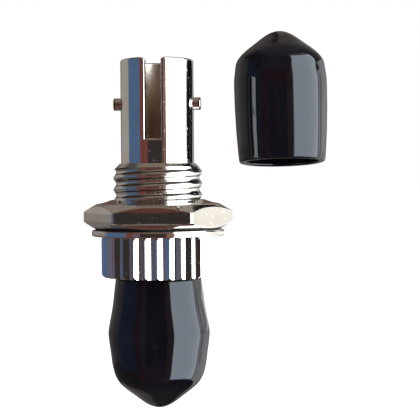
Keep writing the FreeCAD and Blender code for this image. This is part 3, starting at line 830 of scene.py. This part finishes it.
def lid(name, height, colour):
    """Round card that closes the ring of cards above or below: circles of growing radius."""
    radius = np.linspace(0, 1, LID_ROWS)[:, None] * LID_RADIUS
    angles = all_round(LID_COLUMNS)
    level = np.full((LID_ROWS, LID_COLUMNS), float(height))
    points = np.stack([radius * np.cos(angles), radius * np.sin(angles), level], axis=-1)
    show_card(name, mesh_of(name, [points]), colour)


def make_floor():
    """Pale floor under the part and under the cap when it is pulled off, whose white is filled
    up for the camera. Mirror rays pass it and meet the cards below."""
    level = FLOOR_LEVEL * MM
    reach = FLOOR_REACH * MM
    square = ((-reach, -reach), (reach, -reach), (reach, reach), (-reach, reach))
    corners = [(x, y, level) for x, y in square]
    mesh = bpy.data.meshes.new("floor")
    mesh.from_pydata(corners, [], [(0, 1, 2, 3)])
    floor = bpy.data.objects.new("floor", mesh)
    bpy.context.scene.collection.objects.link(floor)
    material = bpy.data.materials.new("floor_paper")
    material.use_nodes = True
    tree = material.node_tree
    shader = tree.nodes["Principled BSDF"]
    shader.inputs["Base Color"].default_value = (0.9, 0.9, 0.9, 1)
    shader.inputs["Roughness"].default_value = 0.9
    shader.inputs["Specular IOR Level"].default_value = 0.0
    light_path = tree.nodes.new("ShaderNodeLightPath")
    emission = tree.nodes.new("ShaderNodeEmission")
    emission.inputs["Strength"].default_value = FLOOR_FILL
    add = tree.nodes.new("ShaderNodeAddShader")
    mix = tree.nodes.new("ShaderNodeMixShader")
    tree.links.new(shader.outputs["BSDF"], add.inputs[0])
    tree.links.new(emission.outputs["Emission"], add.inputs[1])
    tree.links.new(light_path.outputs["Is Camera Ray"], mix.inputs["Fac"])
    tree.links.new(shader.outputs["BSDF"], mix.inputs[1])
    tree.links.new(add.outputs["Shader"], mix.inputs[2])
    tree.links.new(mix.outputs["Shader"], tree.nodes["Material Output"].inputs["Surface"])
    mesh.materials.append(material)
    floor.visible_glossy = False


def make_world():
    """White surround for the camera and for mirror rays, plain light for everything else."""
    world = bpy.data.worlds.new("studio")
    bpy.context.scene.world = world
    world.use_nodes = True
    tree = world.node_tree
    light_path = tree.nodes.new("ShaderNodeLightPath")
    seen = tree.nodes.new("ShaderNodeMath")
    seen.operation = "MAXIMUM"
    also = tree.nodes.new("ShaderNodeMath")
    also.operation = "MAXIMUM"
    tree.links.new(light_path.outputs["Is Camera Ray"], seen.inputs[0])
    tree.links.new(light_path.outputs["Is Glossy Ray"], seen.inputs[1])
    tree.links.new(seen.outputs["Value"], also.inputs[0])
    tree.links.new(light_path.outputs["Is Transmission Ray"], also.inputs[1])
    strength = tree.nodes.new("ShaderNodeMapRange")
    strength.inputs["To Min"].default_value = PLAIN_LIGHT
    strength.inputs["To Max"].default_value = WHITE
    tree.links.new(also.outputs["Value"], strength.inputs["Value"])
    background = tree.nodes["Background"]
    background.inputs["Color"].default_value = (1, 1, 1, 1)
    tree.links.new(strength.outputs["Result"], background.inputs["Strength"])


def soft_lamp():
    """Broad lamp above and in front, for the shadow on the floor."""
    data = bpy.data.lights.new("soft_lamp", "AREA")
    data.shape = "DISK"
    data.size = LAMP_WIDTH
    data.energy = LAMP_WATTS
    lamp = bpy.data.objects.new("soft_lamp", data)
    lamp.location = LAMP_PLACE
    lamp.rotation_euler = Vector(lamp.location).to_track_quat("Z", "Y").to_euler()
    lamp.visible_glossy = False
    bpy.context.scene.collection.objects.link(lamp)


# What the plate and the caps mirror: each card's azimuths and elevations in degrees, its distance
# in millimetres, its colour and its far colour. A nearer card hides a farther one.
card("window", (28, 100), (-37, 44), 400, (5.6, 6.4, 7.3), (4.7, 5.3, 6.0))
card("window_post", (100, 102), (-60, 60), 398, (0.25, 0.26, 0.28))
card("pale_wall", (102, 126), (-5, -2.6), 402, (1.12, 1.09, 1.03), (1.0, 0.97, 0.91))
card("pale_wall_middle", (102, 126), (-2.6, 0.8), 402, (2.1, 2.14, 2.2), (1.25, 1.27, 1.3))
card("white_wall", (126, 176), (-5, -2.6), 402, (1.5, 1.46, 1.4))
card("white_wall_middle", (126, 176), (-2.6, 0.8), 402, (0.95, 0.96, 0.98), (0.16, 0.155, 0.155))
card("pale_wall_above", (102, 146), (0.8, 7), 402, (2.6, 2.65, 2.78), (0.5, 0.51, 0.53))
card("pale_wall_high", (102, 146), (7, 18), 402, (2.05, 2.1, 2.2), (0.54, 0.55, 0.57))
card("pale_corner_above", (146, 172), (0.8, 7), 402, (0.47, 0.47, 0.49), (0.16, 0.155, 0.155))
card("pale_corner_high", (146, 172), (7, 18), 402, (0.5, 0.5, 0.51), (0.14, 0.135, 0.135))
card("nut_wall", (108.5, 115), (-18, 14), 399, (1.12, 1.09, 1.03))
card("pale_wall_below", (102, 146), (-38, -5), 402, (2.2, 2.27, 2.4), (0.7, 0.71, 0.74))
card("pale_corner_below", (146, 172), (-38, -5), 402, (0.6, 0.61, 0.63), (0.18, 0.17, 0.17))
card("grey_wall", (102, 150), (18, 60), 404, (0.1, 0.095, 0.09), (0.25, 0.23, 0.21))
card("grey_corner", (150, 176), (18, 60), 404, (0.3, 0.28, 0.25), (0.42, 0.37, 0.31))
card("back_shade", (172, 190), (-38, 60), 406, (0.13, 0.08, 0.065))
card("back_left", (190, 200), (-38, 60), 404, (0.24, 0.18, 0.155))
card("back_floor", (160, 200), (-40, -12), 395, (0.3, 0.28, 0.27))
card("low_wall", (26, 200), (-62, -38), 410, (0.06, 0.045, 0.04))
card("blue_board", (-101, -54), (-20, 25), 400, (0.085, 0.155, 0.3))
card("beige_wall_above", (-150, -101), (0.5, 30), 402, (0.38, 0.355, 0.335))
card("beige_wall", (-150, -101), (-4, 0.5), 402, (0.28, 0.255, 0.24))
card("beige_wall_below", (-150, -101), (-15, -4), 402, (0.2, 0.185, 0.19))
card("beige_corner", (-162, -150), (-15, 30), 402, (0.12, 0.11, 0.105), (0.26, 0.24, 0.225))
card("left_shade", (-162, -54), (-60, 60), 404, (0.09, 0.08, 0.075))
card("red_wood", (-56, 14), (-55, 55), 170, (0.19, 0.06, 0.052))
card("brown_edge", (14, 28), (-55, 55), 170, (0.28, 0.16, 0.13))
card("left_back_above", (-172, -140), (30, 62), 398, (0.27, 0.235, 0.215))
card("left_back_below", (-172, -140), (-62, -30), 398, (0.3, 0.27, 0.245))
card("grey_above", (-56, 28), (30, 56), 165, (0.15, 0.125, 0.11))
card("grey_front", (-43, -31), (-18, 0), 150, (0.14, 0.14, 0.2))
card("dark_front", (-31, 14), (-18, 18), 150, (0.04, 0.034, 0.034))
card("red_front_above", (-16, -5), (6, 18), 148, (0.13, 0.05, 0.043))
card("red_front_below", (-16, -5), (-19, -11), 148, (0.1, 0.05, 0.045))
card("front_line", (-16, -5), (-11, -9.8), 148, (0.3, 0.27, 0.25))
lid("ceiling", 690, (0.24, 0.2, 0.165))
lid("ground", -690, (0.1, 0.08, 0.07))

make_camera()
make_floor()
make_world()
soft_lamp()
bpy.context.scene.view_settings.view_transform = "Standard"
